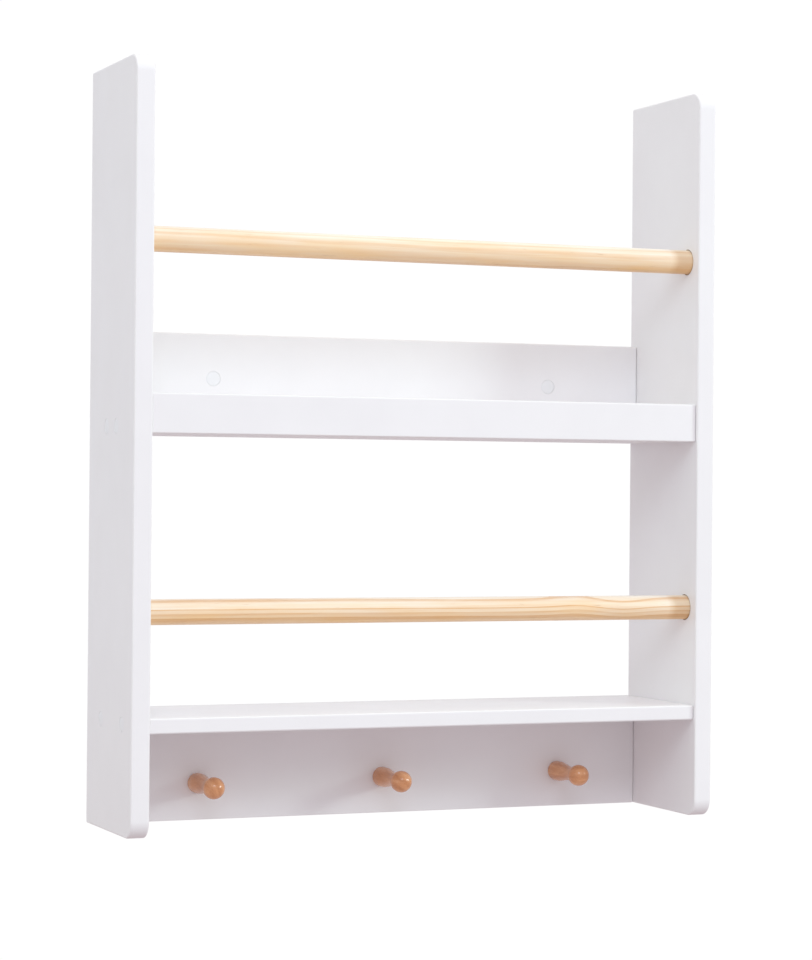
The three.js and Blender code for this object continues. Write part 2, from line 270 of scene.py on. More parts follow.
def wood_place(graph, centre, waves):
    """Place measured from the rod's middle; the grain is lifted in humps, as beside a knot."""
    place = graph.mapping(graph.place(), shift=tuple(-c for c in centre))
    x, y, z = graph.split(place)
    for at, width, lift in waves:
        offset = graph.math("DIVIDE", graph.math("SUBTRACT", x, at), width)
        square = graph.math("MULTIPLY", offset, offset)
        hump = graph.math("EXPONENT", graph.math("MULTIPLY", square, -1.0))
        z = graph.math("SUBTRACT", z, graph.math("MULTIPLY", hump, lift))
    return place, x, y, z


def growth_rings(graph, place, y, z, pith, ring, drift, seed):
    """Ring number, counted from the tree's middle at pith, wandering slowly along the rod."""
    seeded = graph.mapping(place, scale=(4, 24, 24), shift=(seed, seed * 0.7, -seed))
    wander = graph.noise(seeded, 1.0, detail=2, roughness=0.5)
    swing = graph.math("MULTIPLY", graph.math("SUBTRACT", wander, 0.5), drift)
    across = graph.math("SUBTRACT", y, pith[0])
    above = graph.math("SUBTRACT", z, pith[1])
    square = graph.math("MULTIPLY_ADD", across, across, graph.math("MULTIPLY", above, above))
    radius = graph.math("ADD", graph.math("SQRT", square), swing)
    rings = graph.math("DIVIDE", radius, ring)
    uneven = graph.noise(graph.merge(rings, seed, 0.0), 0.9, detail=1)
    return graph.math("MULTIPLY_ADD", uneven, 1.4, rings)


def pine(name, centre, half, pith, ring, drift, waves, bold, seed):
    """Clear-finished pine rod along X, with a painted sheen that pales its top; warmer below.

    centre is the rod's middle and half its visible half length, pith how far the tree's
    middle lies from it, ring the ring spacing, drift how far the rings wander, waves a list
    of (x, width, lift) humps and bold the strength of the latewood lines. The right end
    has a painted shadow.
    """
    material, graph = new_material(name)
    place, x, y, z = wood_place(graph, centre, waves)
    rings = growth_rings(graph, place, y, z, pith, ring, drift, seed)
    late = graph.ramp(graph.math("FRACT", rings), [
        (0.0, (0.25, 0.25, 0.25)),
        (0.12, (0.0, 0.0, 0.0)),
        (0.62, (0.15, 0.15, 0.15)),
        (0.84, (1.0, 1.0, 1.0)),
        (0.92, (1.0, 1.0, 1.0)),
    ])
    age = graph.noise(graph.merge(graph.math("FLOOR", rings), seed, 1.0), 3.1, detail=0)
    strength = graph.span(age, 0.35, 0.65, 0.45 * bold, bold)
    fibre = graph.noise(graph.mapping(place, scale=(26, 900, 900)), 1.0, detail=4, roughness=0.7)
    streak = graph.noise(graph.mapping(place, scale=(7, 300, 300)), 1.0, detail=3, roughness=0.6)
    patch_place = graph.mapping(place, scale=(10, 70, 70), shift=(0, seed, 0))
    patch = graph.noise(patch_place, 1.0, detail=3, roughness=0.6)
    # Painted sheen: paler towards the rod's top, as if lit from above; random patches add warmth.
    warm_below_sheen = graph.span(z, -SHEEN_FADE, SHEEN_FADE, 0.66, -0.14)
    warm_below_sheen = graph.math("ADD", warm_below_sheen, graph.span(patch, 0.35, 0.68, 0.0, 0.4))
    colour = graph.mix(warm_below_sheen, PINE_PAINTED_SHEEN, PINE_WARM)
    amount = graph.math("MULTIPLY", late, strength)
    amount = graph.math("MULTIPLY", amount, graph.span(fibre, 0.3, 0.65, 0.55, 1.0))
    colour = graph.mix(amount, colour, PINE_LATE)
    streaked = graph.span(streak, 0.38, 0.7, 0.0, 0.40)
    colour = graph.mix(streaked, colour, (0.86, 0.62, 0.38), "MULTIPLY")
    pore = graph.noise(graph.mapping(place, scale=(70, 1500, 1500)), 1.0, detail=1)
    colour = graph.mix(graph.span(pore, 0.70, 0.78, 0.0, 0.35), colour, (0.45, 0.24, 0.10))
    # Painted shadow: the last stretch of the right end is darkened, as if shaded by the right panel.
    edge = half - PAINTED_SHADOW_LENGTH
    painted_shadow = graph.span(x, edge - 3 * MM, edge + 4 * MM, 0.0, 0.65)
    colour = graph.mix(painted_shadow, colour, PINE_PAINTED_SHADOW, "MULTIPLY")
    roughness = graph.span(amount, 0.0, 1.0, 0.44, 0.34)
    normal = graph.bump(graph.math("MULTIPLY_ADD", amount, 0.8, fibre), 0.00005)
    graph.surface(colour, roughness, normal, Coat_Weight=0.6, Coat_Roughness=0.30)
    return material


def beech(name, centre, seed):
    """Turned, gloss-lacquered beech with its grain along Y: short dark flecks on orange brown.

    The seed also turns the grain about the peg's middle, so that no two pegs look alike.
    """
    material, graph = new_material(name)
    place = graph.mapping(graph.place(), shift=tuple(-c for c in centre))
    place = graph.mapping(place, turn=(0, seed, 0))
    band = graph.noise(graph.mapping(place, scale=(230, 24, 60), shift=(seed, 0, 0)), 1.0, detail=3)
    fibre = graph.noise(graph.mapping(place, scale=(1500, 90, 1500)), 1.0, detail=3, roughness=0.7)
    fleck_place = graph.mapping(place, scale=(900, 260, 1300), shift=(0, seed, 0))
    flecks = graph.span(graph.voronoi(fleck_place, 1.0), 0.08, 0.24, 1.0, 0.0)
    blend = graph.math("MULTIPLY_ADD", fibre, 0.35, graph.math("MULTIPLY", band, 0.65))
    colour = graph.ramp(blend, [
        (0.34, (0.560, 0.235, 0.100)),
        (0.50, (0.690, 0.315, 0.145)),
        (0.66, (0.820, 0.430, 0.220)),
    ])
    colour = graph.mix(graph.math("MULTIPLY", flecks, 0.25), colour, (0.27, 0.105, 0.045))
    roughness = graph.span(fibre, 0.3, 0.7, 0.30, 0.40)
    normal = graph.bump(fibre, 0.00004)
    gloss = {"Specular_IOR_Level": 0.2, "Coat_Weight": 0.8, "Coat_Roughness": 0.07}
    graph.surface(colour, roughness, normal, **gloss)
    return material


def pin_wood():
    """Raw birch dowel pins."""
    material, graph = new_material("raw_birch")
    place = graph.place()
    fibre = graph.noise(graph.mapping(place, scale=(60, 1400, 1400)), 1.0, detail=4, roughness=0.7)
    band = graph.noise(graph.mapping(place, scale=(20, 500, 500)), 1.0, detail=2)
    blend = graph.math("MULTIPLY_ADD", band, 0.5, graph.math("MULTIPLY", fibre, 0.5))
    colour = graph.ramp(blend, [
        (0.35, (0.56, 0.39, 0.22)),
        (0.55, (0.70, 0.52, 0.32)),
        (0.70, (0.80, 0.64, 0.44)),
    ])
    graph.surface(colour, graph.span(fibre, 0.3, 0.7, 0.62, 0.8), graph.bump(fibre, 0.00008))
    return material


def zinc():
    """Bright zinc plate on the screws, slightly yellowed and blued in patches."""
    material, graph = new_material("zinc_plate")
    place = graph.place()
    patch = graph.noise(place, 500, detail=3, roughness=0.6)
    colour = graph.ramp(patch, [
        (0.35, (0.50, 0.53, 0.60)),
        (0.52, (0.66, 0.67, 0.69)),
        (0.68, (0.72, 0.68, 0.56)),
    ])
    scuff = graph.noise(graph.mapping(place, scale=(1, 6, 6)), 900, detail=4, roughness=0.7)
    roughness = graph.span(scuff, 0.3, 0.7, 0.22, 0.42)
    graph.surface(colour, roughness, graph.bump(scuff, 0.00002), Metallic=1.0)
    return material


def cover_plastic():
    """Smooth moulded white plastic, a shade cooler and glossier than the lacquer."""
    material, graph = new_material("cover_plastic")
    place = graph.place()
    cloud = graph.noise(place, 180, detail=2)
    colour = graph.mix(cloud, (0.86, 0.86, 0.875), (0.835, 0.835, 0.85))
    sparkle = graph.noise(place, 2600, detail=2)
    roughness = graph.span(cloud, 0.3, 0.7, 0.28, 0.38)
    graph.surface(colour, roughness, graph.bump(sparkle, 0.00001))
    return material


# The boards' material slots, and their numbers.
WHITE = [
    lacquer("white_lacquer", LACQUER, LACQUER_SHADE, peel=0.00003, rough=0.42),
    lacquer("white_lacquer_edge", LACQUER_EDGE, LACQUER, peel=0.00002, rough=0.36),
    raw_fibreboard(),
]
FACE, EDGE, RAW = range(3)
ZINC = zinc()
BIRCH = pin_wood()
PLASTIC = cover_plastic()

# ---------------------------------------------------------------- mesh helpers

FRAME_BODY = "rack_frame"


def add_object(name, mesh, materials):
    obj = bpy.data.objects.new(name, mesh)
    for material in materials:
        mesh.materials.append(material)
    SCENE.collection.objects.link(obj)
    return obj


def stand_for(obj, node, body):
    """The object rides with the body and takes the CAD node's place."""
    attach(obj, body)
    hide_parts(node)


def corners(node):
    """The low and high corner of a CAD node's box."""
    low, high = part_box(node)
    return Vector(low), Vector(high)


def centre_of(node):
    low, high = corners(node)
    return (low + high) / 2


def set_finish(mesh, finish):
    """Gives every face one of the slots of WHITE."""
    for polygon in mesh.polygons:
        polygon.material_index = finish


def smooth(mesh, degrees):
    for polygon in mesh.polygons:
        polygon.use_smooth = True
    mesh.set_sharp_from_angle(angle=math.radians(degrees))


EASED_CORNER = math.radians(40)
EASE_STEPS = 4


def prism(outline, x0, x1, ease):
    """A solid with a Y-Z outline between x0 and x1, its sharp corners eased."""
    bm = bmesh.new()
    ends = [[bm.verts.new((x, y, z)) for y, z in outline] for x in (x0, x1)]
    count = len(outline)
    for i in range(count):
        j = (i + 1) % count
        bm.faces.new((ends[0][i], ends[0][j], ends[1][j], ends[1][i]))
    bm.faces.new(list(reversed(ends[0])))
    bm.faces.new(ends[1])
    bmesh.ops.recalc_face_normals(bm, faces=bm.faces)
    sharp = [edge for edge in bm.edges if edge.calc_face_angle() > EASED_CORNER]
    made = bmesh.ops.bevel(
        bm, geom=sharp, offset=ease, segments=EASE_STEPS, profile=0.5,
        affect="EDGES", clamp_overlap=True,
    )
    for face in made["faces"]:
        face.material_index = EDGE
    mesh = bpy.data.meshes.new("prism")
    bm.to_mesh(mesh)
    bm.free()
    return mesh


CORNER_STEPS = 14


def rounded_outline(low, high, radius):
    """Y-Z outline with round front corners, anticlockwise seen from +X."""
    points = [(high.y, low.z), (high.y, high.z)]
    for centre_z, start in ((high.z - radius, math.pi / 2), (low.z + radius, math.pi)):
        for i in range(CORNER_STEPS + 1):
            angle = start + math.pi / 2 * i / CORNER_STEPS
            y = low.y + radius + radius * math.cos(angle)
            points.append((y, centre_z + radius * math.sin(angle)))
    return points


def box_outline(low, high):
    return [(high.y, low.z), (high.y, high.z), (low.y, high.z), (low.y, low.z)]


def revolve(profile, sides, radius_at=None):
    """A closed solid about +Z from (radius, height) points that start and end on the axis.

    radius_at(row, angle, radius) may reshape a row. Angles start at zero on +X.
    """
    bm = bmesh.new()
    first = bm.verts.new((0, 0, profile[0][1]))
    last = bm.verts.new((0, 0, profile[-1][1]))
    rows = []
    for row, (radius, height) in enumerate(profile[1:-1]):
        ring = []
        for i in range(sides):
            angle = 2 * math.pi * i / sides
            r = radius_at(row, angle, radius) if radius_at else radius
            ring.append(bm.verts.new((r * math.cos(angle), r * math.sin(angle), height)))
        rows.append(ring)
    for i in range(sides):
        j = (i + 1) % sides
        bm.faces.new((first, rows[0][j], rows[0][i]))
        bm.faces.new((last, rows[-1][i], rows[-1][j]))
        for below, above in zip(rows, rows[1:]):
            bm.faces.new((below[i], below[j], above[j], above[i]))
    bmesh.ops.recalc_face_normals(bm, faces=bm.faces)
    mesh = bpy.data.meshes.new("revolve")
    bm.to_mesh(mesh)
    bm.free()
    return mesh


X, Y = 0, 1
OUTSIDE = 1 * MM
ALONG_X = Matrix.Rotation(math.pi / 2, 4, "Y")
ALONG_MINUS_X = Matrix.Rotation(-math.pi / 2, 4, "Y")
ALONG_MINUS_Y = Matrix.Rotation(math.pi / 2, 4, "X")


def drill_mesh(start, end, radius, flare, finish, sides=48):
    """A cutter from start to end; start lies outside the board and a flare eases the rim."""
    start, end = Vector(start), Vector(end)
    length = (end - start).length
    profile = [(0, 0), (radius + flare, 0)]
    if flare:
        profile += [(radius + flare, OUTSIDE), (radius, OUTSIDE + flare)]
    profile += [(radius, length), (0, length)]
    mesh = revolve(profile, sides)
    mesh.transform(UP.rotation_difference(end - start).to_matrix().to_4x4())
    mesh.transform(Matrix.Translation(start))
    set_finish(mesh, finish)
    return mesh


SAME_POINT = 0.002 * MM


def clean_cut(mesh):
    """Joins doubled points left by a cut, drops the slivers there and fills any pinhole."""
    bm = bmesh.new()
    bm.from_mesh(mesh)
    bmesh.ops.remove_doubles(bm, verts=bm.verts, dist=SAME_POINT)
    bmesh.ops.dissolve_degenerate(bm, edges=bm.edges, dist=SAME_POINT)
    rims = [edge for edge in bm.edges if edge.is_boundary]
    filled = bmesh.ops.holes_fill(bm, edges=rims)
    for face in filled["faces"]:
        face.material_index = RAW
    bm.to_mesh(mesh)
    bm.free()


def cut_holes(obj, cutters):
    """Takes the cutters out of the object's mesh and leaves no modifier behind."""
    helpers = []
    for mesh in cutters:
        helper = add_object("cutter", mesh, WHITE)
        modifier = obj.modifiers.new("cut", "BOOLEAN")
        modifier.operation = "DIFFERENCE"
        modifier.solver = "EXACT"
        modifier.object = helper
        helpers.append(helper)
    graph = bpy.context.evaluated_depsgraph_get()
    graph.update()
    cut = bpy.data.meshes.new_from_object(obj.evaluated_get(graph))
    clean_cut(cut)
    old = obj.data
    obj.modifiers.clear()
    obj.data = cut
    bpy.data.meshes.remove(old)
    for helper in helpers:
        mesh = helper.data
        bpy.data.objects.remove(helper)
        bpy.data.meshes.remove(mesh)


FLAT_FACE_AREA = 150 * MM * MM
SAME_SURFACE = math.cos(math.radians(36))


def finish_board(obj):
    """Smooth shading for the eased edges and holes that leaves the flat faces exactly flat."""
    mesh = obj.data
    around = [[] for _ in mesh.vertices]
    for polygon in mesh.polygons:
        polygon.use_smooth = True
        for vertex in polygon.vertices:
            around[vertex].append((polygon.area, polygon.normal.copy()))
    normals = []
    for polygon in mesh.polygons:
        for vertex in polygon.vertices:
            near = [pair for pair in around[vertex] if pair[1].dot(polygon.normal) > SAME_SURFACE]
            area, normal = max(near, key=lambda pair: pair[0])
            if area < FLAT_FACE_AREA:
                normal = sum((n * a for a, n in near), Vector())
            normals.append(normal.normalized())
    mesh.normals_split_custom_set(normals)


# ---------------------------------------------------------------- fastenings

COVER_HOLE_RADIUS = 6.06 * MM
COVER_HOLE_DEPTH = 1.9 * MM
HEAD_HOLE_RADIUS = 4.3 * MM
SHANK_HOLE_RADIUS = 2.3 * MM
PIN_HOLE_RADIUS = 3.3 * MM
HEAD_SPACE = 4 * MM
SHELF_SCREWS = (
    "upper_shelf_screw_front", "upper_shelf_screw_back",
    "lower_shelf_screw_front", "lower_shelf_screw_back",
)
PINS = (
    "lip_pin", "wall_rail_pin_low", "wall_rail_pin_high",
    "peg_board_pin_low", "peg_board_pin_high",
)
SIDES = (("left", -1), ("right", 1))
PEG_PLACES = ("left", "middle", "right")


def rod_profile(length, radius, chamfer):
    """Profile of a plain rod with chamfered ends."""
    return [
        (0, 0), (radius - chamfer, 0), (radius, chamfer),
        (radius, length - chamfer), (radius - chamfer, length), (0, length),
    ]


SCREW_SIDES = 36
THREAD_SHARE = 0.55
THREAD_WIDTH = 0.28
BLUNT_TIP = 0.06


def screw_mesh(length):
    """A countersunk furniture screw along +Z, its head's face at Z = 0, with a hex socket."""
    root, crest, shank = 1.45 * MM, 2.0 * MM, 1.8 * MM
    pitch, point, tip = 1.8 * MM, 5 * MM, 0.2 * MM
    head, neck, rim, ease = 4.0 * MM, 2.8 * MM, 0.5 * MM, 0.1 * MM
    socket_flat, socket_depth, socket_ease, drill_point = 1.6 * MM, 2.2 * MM, 0.15 * MM, 0.4 * MM
    thread_end = (1 - THREAD_SHARE) * length
    rows = [(0, length)]
    kinds = []
    height = length - tip
    while height > thread_end:
        # A thread row's radius is a share of the thread's own; shape() below gives its size.
        taper = min(1.0, (length - height) / point)
        rows.append((max(taper, BLUNT_TIP), height))
        kinds.append("thread")
        height -= pitch / 6
    plain = [(shank, thread_end), (shank, neck), (head, rim), (head, ease), (head - ease, 0)]
    rows += plain
    kinds += ["plain"] * len(plain)
    socket = [
        (socket_flat + socket_ease, 0), (socket_flat, socket_ease), (socket_flat, socket_depth),
    ]
    rows += socket
    kinds += ["socket"] * len(socket)
    rows.append((0, socket_depth + drill_point))

    def shape(row, angle, radius):
        if kinds[row] == "thread":
            turn = (rows[row + 1][1] / pitch - angle / (2 * math.pi)) % 1.0
            ridge = max(0.0, 1.0 - abs(turn - 0.5) / THREAD_WIDTH)
            return radius * (root + (crest - root) * ridge)
        if kinds[row] == "socket":
            sector = (angle % (math.pi / 3)) - math.pi / 6
            return radius / math.cos(sector)
        return radius

    return revolve(rows, SCREW_SIDES, shape)


COVER_SIDES = 64


def cover_mesh():
    """A press-in cover along -Z, its slightly domed face up to Z = 0."""
    radius, thick, ease = 6.0 * MM, 1.6 * MM, 0.15 * MM
    stem, stem_end, stem_ease = 1.3 * MM, 3.2 * MM, 0.2 * MM
    edge, shoulder, dome = 0.35 * MM, 0.45 * MM, 0.04 * MM
    profile = [(0, -stem_end), (stem - stem_ease, -stem_end), (stem, stem_ease - stem_end)]
    profile += [(stem, -thick), (radius - ease, -thick), (radius, ease - thick), (radius, -shoulder)]
    for i in range(1, 5):
        angle = math.pi / 2 * i / 4
        across = radius - edge + edge * math.cos(angle)
        profile.append((across, edge * math.sin(angle) - shoulder))
    profile += [(radius * 0.6, -dome), (radius * 0.3, -dome / 4), (0, 0)]
    return revolve(profile, COVER_SIDES)


def pin_mesh(length):
    """A fluted dowel pin along +Z, centred on the origin."""
    radius, chamfer, flutes, flute_depth = 3.0 * MM, 0.8 * MM, 14, 0.12 * MM
    profile = [(r, z - length / 2) for r, z in rod_profile(length, radius, chamfer)]

    def shape(row, angle, r):
        return r - flute_depth * (0.5 + 0.5 * math.cos(flutes * angle)) ** 2

    return revolve(profile, flutes * 6, shape)


# A fastening's name prefix, material and slot.
ZINC_STEEL = ("zinc_", ZINC, "zinc_steel")
WHITE_PLASTIC = ("plastic_", PLASTIC, "white_plastic")
PIN_WOOD = ("birch_", BIRCH, "pin_wood")
FASTENING_CREASE = 30


def add_fastening(kind, mesh, turn, place, node):
    prefix, material, slot = kind
    mesh.transform(Matrix.Translation(place) @ turn)
    smooth(mesh, FASTENING_CREASE)
    obj = add_object(prefix + node, mesh, [material])
    stand_for(obj, node, FRAME_BODY)


def outer_end(node, sign):
    """The middle of the piece's end that looks away from the rack's middle."""
    low, high = corners(node)
    place = (low + high) / 2
    place.x = high.x if sign > 0 else low.x
    return place


def length_of(node, axis):
    low, high = corners(node)
    return high[axis] - low[axis]


def add_side_fastenings(side, sign):
    inwards = ALONG_MINUS_X if sign > 0 else ALONG_X
    outwards = ALONG_X if sign > 0 else ALONG_MINUS_X
    for name in SHELF_SCREWS:
        screw = f"{name}_{side}"
        mesh = screw_mesh(length_of(screw, X))
        add_fastening(ZINC_STEEL, mesh, inwards, outer_end(screw, sign), screw)
        cover = screw.replace("screw", "cover")
        add_fastening(WHITE_PLASTIC, cover_mesh(), outwards, outer_end(cover, sign), cover)
    for name in PINS:
        pin = f"{name}_{side}"
        mesh = pin_mesh(length_of(pin, X))
        add_fastening(PIN_WOOD, mesh, ALONG_X, centre_of(pin), pin)
    cover = f"wall_screw_cover_{side}"
    face = centre_of(cover)
    face.y = corners(cover)[0].y
    add_fastening(WHITE_PLASTIC, cover_mesh(), ALONG_MINUS_Y, face, cover)


def add_peg_screw(peg):
    screw = f"peg_screw_{peg}"
    head = centre_of(screw)
    head.y = corners(screw)[1].y
    add_fastening(ZINC_STEEL, screw_mesh(length_of(screw, Y)), ALONG_MINUS_Y, head, screw)


# ---------------------------------------------------------------- boards

BOARD_EASE = 1.3 * MM
END_GAP = 0.12 * MM
PANEL_EASE = 1.4 * MM
PANEL_CORNER = 14 * MM
HOLE_FLARE = 0.25 * MM
SOCKET_RADIUS = 10.4 * MM
SOCKET_DEPTH = 8 * MM
WALL_SCREW_HOLE = 2.75 * MM
WALL_SCREW_RECESS = 6 * MM
PEG_SCREW_SUNK = 0.5 * MM
TIP_ROOM = 0.3 * MM
SMALL_HOLE_SIDES = 24
HEAD_HOLE_SIDES = 32
SOCKET_SIDES = 96


def end_holes(board, names, radius):
    """Cutters for the pilot or pin holes in both ends of a board."""
    inner_x = corners("peg_board")[1].x
    cutters = []
    for name in names:
        if not name.startswith(board):
            continue
        for side, sign in SIDES:
            inner_tip = outer_end(f"{name}_{side}", -sign)
            mouth = inner_tip.copy()
            mouth.x = sign * (inner_x + OUTSIDE)
            floor = inner_tip - Vector((sign * TIP_ROOM, 0, 0))
            cutters.append(drill_mesh(mouth, floor, radius, HOLE_FLARE, RAW, SMALL_HOLE_SIDES))
    return cutters


def add_board(node, cutters):
    low, high = corners(node)
    mesh = prism(box_outline(low, high), low.x + END_GAP, high.x - END_GAP, BOARD_EASE)
    obj = add_object("white_" + node, mesh, WHITE)
    cut_holes(obj, cutters)
    finish_board(obj)
    stand_for(obj, node, FRAME_BODY)


def wall_screw_holes():
    """Cutters for the two wall screws: a wide recess in front, a bore through to the back."""
    low, high = corners("wall_rail")
    cutters = []
    for side, _ in SIDES:
        cover = centre_of(f"wall_screw_cover_{side}")
        mouth = Vector((cover.x, low.y - OUTSIDE, cover.z))
        floor = Vector((cover.x, low.y + WALL_SCREW_RECESS, cover.z))
        back = Vector((cover.x, high.y + OUTSIDE, cover.z))
        cutters.append(drill_mesh(mouth, floor, COVER_HOLE_RADIUS, 0, FACE))
        cutters.append(drill_mesh(back, (mouth + floor) / 2, WALL_SCREW_HOLE, HOLE_FLARE, RAW))
    return cutters


def shank_hole(start, end):
    return drill_mesh(start, end, SHANK_HOLE_RADIUS, HOLE_FLARE, RAW, SMALL_HOLE_SIDES)


def peg_screw_holes():
    """Cutters for the three peg screws, their heads sunk into the back."""
    low, high = corners("peg_board")
    cutters = []
    for peg in PEG_PLACES:
        screw = centre_of(f"peg_screw_{peg}")
        back = Vector((screw.x, high.y + OUTSIDE, screw.z))
        head = Vector((screw.x, high.y - PEG_SCREW_SUNK - HEAD_SPACE, screw.z))
        front = Vector((screw.x, low.y - OUTSIDE, screw.z))
        middle = (head + back) / 2
        cutters.append(drill_mesh(back, head, HEAD_HOLE_RADIUS, HOLE_FLARE, RAW, HEAD_HOLE_SIDES))
        cutters.append(shank_hole(front, middle))
    return cutters


def add_boards():
    add_board("upper_shelf_board", end_holes("upper_shelf", SHELF_SCREWS, SHANK_HOLE_RADIUS))
    add_board("lower_shelf_board", end_holes("lower_shelf", SHELF_SCREWS, SHANK_HOLE_RADIUS))
    add_board("upper_shelf_lip", end_holes("lip", PINS, PIN_HOLE_RADIUS))
    add_board("wall_rail", end_holes("wall_rail", PINS, PIN_HOLE_RADIUS) + wall_screw_holes())
    add_board("peg_board", end_holes("peg_board", PINS, PIN_HOLE_RADIUS) + peg_screw_holes())


def rail_socket(rail, inner, sign):
    mouth = centre_of(rail)
    mouth.x = inner - sign * OUTSIDE
    floor = mouth.copy()
    floor.x = inner + sign * SOCKET_DEPTH
    return drill_mesh(mouth, floor, SOCKET_RADIUS, HOLE_FLARE, RAW, SOCKET_SIDES)


def stepped_screw_hole(screw, outer, inner, sign):
    """Cutters for the cover's recess, the screw's head and its shank, from the outside in."""
    middle = centre_of(screw)
    outside = Vector((outer + sign * OUTSIDE, middle.y, middle.z))
    seat = outside - Vector((sign * (OUTSIDE + COVER_HOLE_DEPTH), 0, 0))
    head = seat - Vector((sign * HEAD_SPACE, 0, 0))
    inside = Vector((inner - sign * OUTSIDE, middle.y, middle.z))
    recess = drill_mesh(outside, seat, COVER_HOLE_RADIUS, 0, FACE)
    head_hole = drill_mesh((outside + seat) / 2, head, HEAD_HOLE_RADIUS, 0, RAW)
    deep = (seat + head) / 2
    return [recess, head_hole, shank_hole(inside, deep)]


def pin_hole(pin, inner, sign):
    floor = outer_end(pin, sign) + Vector((sign * TIP_ROOM, 0, 0))
    inside = floor.copy()
    inside.x = inner - sign * OUTSIDE
    return drill_mesh(inside, floor, PIN_HOLE_RADIUS, HOLE_FLARE, RAW, SMALL_HOLE_SIDES)


def add_panel(side, sign):
    node = f"side_panel_{side}"
    low, high = corners(node)
    outer, inner = (high.x, low.x) if sign > 0 else (low.x, high.x)
    mesh = prism(rounded_outline(low, high, PANEL_CORNER), low.x, high.x, PANEL_EASE)
    obj = add_object("white_" + node, mesh, WHITE)
    cutters = [rail_socket(rail, inner, sign) for rail in ("rail_upper", "rail_lower")]
    for screw in SHELF_SCREWS:
        cutters += stepped_screw_hole(f"{screw}_{side}", outer, inner, sign)
    cutters += [pin_hole(f"{pin}_{side}", inner, sign) for pin in PINS]
    cut_holes(obj, cutters)
    finish_board(obj)
    stand_for(obj, node, FRAME_BODY)


# ---------------------------------------------------------------- rails and pegs

RAIL_SIDES = 96
RAIL_ROWS = 60
RAIL_CHAMFER = 1 * MM
RAIL_CREASE = 50


def rounded_end(radius, half):
    """Points round a rail's end from its flat face to its side: (radius, distance from middle)."""
    inner = radius - RAIL_CHAMFER
    points = [(0, half), (radius * 0.5, half), (inner, half)]
    for i in range(1, 4):
        angle = math.pi / 2 * i / 4
        out = RAIL_CHAMFER * math.sin(angle)
        down = RAIL_CHAMFER * (1 - math.cos(angle))
        points.append((inner + out, half - down))
    return points


def rail_mesh(length, radius):
    """A round rod along +Z, centred, with rounded chamfers and many rows along it."""
    half = length / 2
    end = rounded_end(radius, half)
    straight = length - 2 * RAIL_CHAMFER
    profile = [(r, -z) for r, z in end]
    for i in range(RAIL_ROWS + 1):
        profile.append((radius, -half + RAIL_CHAMFER + straight * i / RAIL_ROWS))
    profile += reversed(end)
    return revolve(profile, RAIL_SIDES)


def add_rail(node, body, **grain):
    low, high = corners(node)
    middle = (low + high) / 2
    mesh = rail_mesh(high.x - low.x, (high.z - low.z) / 2)
    mesh.transform(Matrix.Translation(middle) @ ALONG_X)
    smooth(mesh, RAIL_CREASE)
    half = corners("side_panel_right")[0].x
    finish = pine("pine_" + node, middle, half, **grain)
    obj = add_object("pine_" + node, mesh, [finish])
    stand_for(obj, node, body)


def smooth_curve(points, steps):
    """Catmull-Rom through (radius, height) points."""
    padded = [points[0], *points, points[-1]]
    curve = []
    for a, b, c, d in zip(padded, padded[1:], padded[2:], padded[3:]):
        for i in range(steps):
            t = i / steps
            curve.append(tuple(
                0.5 * (2 * q + (r - p) * t + (2 * p - 5 * q + 4 * r - s) * t * t
                       + (3 * q - p - 3 * r + s) * t ** 3)
                for p, q, r, s in zip(a, b, c, d)
            ))
    curve.append(points[-1])
    return curve


PEG_FOOT = 8.2 * MM
PEG_WAIST = 5.65 * MM
PEG_NECK = 6.1 * MM
PEG_BALL = 8.8 * MM
PEG_HOLE = 2.3 * MM
PEG_HOLE_DEPTH = 18 * MM
PEG_SIDES = 80
PEG_CURVE_STEPS = 6
BALL_STEPS = 30
PEG_CREASE = 40
PEG_SEED_STEP = 3.7


def peg_mesh(length):
    """A Shaker-like peg along +Z: bell foot with a screw hole, waist, and a ball."""
    ball_height = length - PEG_BALL
    ball_start = -math.acos(PEG_NECK / PEG_BALL)
    neck_height = ball_height + PEG_BALL * math.sin(ball_start)
    outer = smooth_curve([
        (PEG_FOOT - 0.5 * MM, 0.0),
        (PEG_FOOT - 0.05 * MM, 0.9 * MM),
        (PEG_FOOT, 2.5 * MM),
        (PEG_FOOT * 0.985, 8.5 * MM),
        (PEG_FOOT * 0.90, 13.5 * MM),
        (PEG_WAIST + 0.7 * MM, 20.5 * MM),
        (PEG_WAIST, 28 * MM),
        (PEG_NECK, neck_height),
    ], PEG_CURVE_STEPS)
    profile = [(0, PEG_HOLE_DEPTH), (PEG_HOLE, PEG_HOLE_DEPTH), (PEG_HOLE, 0.0), *outer]
    for i in range(1, BALL_STEPS):
        angle = ball_start + (math.pi / 2 - ball_start) * i / BALL_STEPS
        profile.append((PEG_BALL * math.cos(angle), ball_height + PEG_BALL * math.sin(angle)))
    profile.append((0, length))
    return revolve(profile, PEG_SIDES)


def add_pegs():
    for number, peg in enumerate(PEG_PLACES, 1):
        node = f"peg_{peg}"
        low, high = corners(node)
        foot = centre_of(node)
        foot.y = high.y
        mesh = peg_mesh(high.y - low.y)
        mesh.transform(Matrix.Translation(foot) @ ALONG_MINUS_Y)
        smooth(mesh, PEG_CREASE)
        finish = beech("beech_" + node, foot, PEG_SEED_STEP * number)
        obj = add_object("beech_" + node, mesh, [finish])
        stand_for(obj, node, FRAME_BODY)


# ---------------------------------------------------------------- the rack

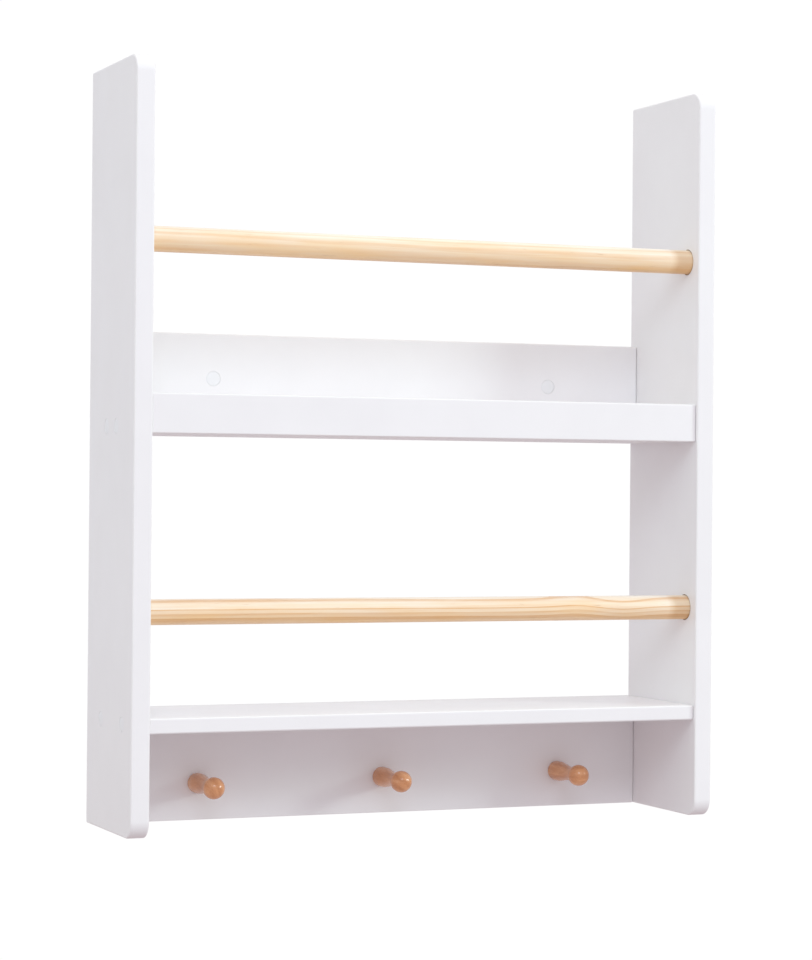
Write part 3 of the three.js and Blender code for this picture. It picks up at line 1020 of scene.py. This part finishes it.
add_boards()
for side, sign in SIDES:
    add_panel(side, sign)
add_rail(
    "rail_upper", "upper_rail", pith=(0.070, 0.045), ring=6.5 * MM, drift=7 * MM,
    waves=[], bold=0.34, seed=1.3,
)
add_rail(
    "rail_lower", "lower_rail", pith=(0.012, -0.070), ring=4.4 * MM, drift=3.0 * MM,
    waves=[(0.130, 0.022, 1.3 * MM), (0.173, 0.026, -2.2 * MM)], bold=0.85, seed=4.1,
)
add_pegs()
for side, sign in SIDES:
    add_side_fastenings(side, sign)
for peg in PEG_PLACES:
    add_peg_screw(peg)

# ---------------------------------------------------------------- studio

FLOOR_DROP = 1.25
FLOOR_RADIUS = 14.0
FLOOR_GLOW = (0.599, 0.523, 0.546)
SURROUND = (0.674, 0.686, 0.704)
FROM_ABOVE = (0.478, 0.380, 0.304)
FROM_BEHIND = (0.312, 0.367, 0.482)
BACKDROP_WHITE = 1.02
LIGHT_DISTANCE = 4.5
FLOOR_SIDES = 96


def shown_white(graph, shader, kind):
    """Pure white to the camera, but the given shader to everything that it lights."""
    white = graph.node(kind)
    white.inputs["Color"].default_value = (1, 1, 1, 1)
    white.inputs["Strength"].default_value = BACKDROP_WHITE
    mix = graph.node("ShaderNodeMixShader")
    graph.join(graph.node("ShaderNodeLightPath").outputs["Is Camera Ray"], mix.inputs[0])
    graph.join(shader.outputs[0], mix.inputs[1])
    graph.join(white.outputs[0], mix.inputs[2])
    return mix.outputs[0]


def add_world():
    """An even white surround, brighter above and straight behind."""
    world = bpy.data.worlds.new("studio")
    world.use_nodes = True
    graph = Graph(world.node_tree)
    _, y, z = graph.split(graph.node("ShaderNodeTexCoord").outputs["Generated"])
    above = graph.math("POWER", graph.math("MAXIMUM", z, 0.0), 2.0)
    behind = graph.math("POWER", graph.math("MAXIMUM", y, 0.0), 8.0)
    colour = graph.mix(above, SURROUND, FROM_ABOVE, blend="ADD")
    colour = graph.mix(behind, colour, FROM_BEHIND, blend="ADD")
    surround = graph.node("ShaderNodeBackground")
    graph.join(colour, surround.inputs["Color"])
    output = graph.node("ShaderNodeOutputWorld")
    graph.join(shown_white(graph, surround, "ShaderNodeBackground"), output.inputs["Surface"])
    SCENE.world = world


def add_floor():
    """A wide pale floor that also lights the rack from below."""
    bm = bmesh.new()
    bmesh.ops.create_circle(bm, cap_ends=True, radius=FLOOR_RADIUS, segments=FLOOR_SIDES)
    mesh = bpy.data.meshes.new("floor")
    bm.to_mesh(mesh)
    bm.free()
    material, graph = new_material("pale_floor")
    glow = graph.node("ShaderNodeEmission")
    glow.inputs["Color"].default_value = (*FLOOR_GLOW, 1)
    output = graph.node("ShaderNodeOutputMaterial")
    graph.join(shown_white(graph, glow, "ShaderNodeEmission"), output.inputs["Surface"])
    floor = add_object("floor", mesh, [material])
    floor.location.z = CAD_LOW.z - FLOOR_DROP


def add_area_light(name, azimuth, elevation, size, power, colour):
    """A square soft box aimed at the rack's middle. Azimuth turns from the front to the right."""
    a, e = math.radians(azimuth), math.radians(elevation)
    away = Vector((math.sin(a) * math.cos(e), -math.cos(a) * math.cos(e), math.sin(e)))
    data = bpy.data.lights.new(name, "AREA")
    data.shape = "SQUARE"
    data.size = size
    data.energy = power
    data.color = colour
    light = bpy.data.objects.new(name, data)
    light.location = (CAD_LOW + CAD_HIGH) / 2 + away * LIGHT_DISTANCE
    light.rotation_mode = "QUATERNION"
    light.rotation_quaternion = (-away).to_track_quat("-Z", "Y")
    SCENE.collection.objects.link(light)


add_world()
add_floor()
add_area_light("key", azimuth=56, elevation=15, size=1.1, power=60, colour=(0.84, 1.0, 0.97))
add_area_light("front", azimuth=-15, elevation=35, size=1.7, power=46, colour=(0.90, 1.0, 1.16))
add_area_light("left", azimuth=-75, elevation=15, size=1.7, power=17, colour=(0.70, 1.0, 0.92))
SCENE.view_settings.view_transform = "Standard"
SCENE.view_settings.look = "None"
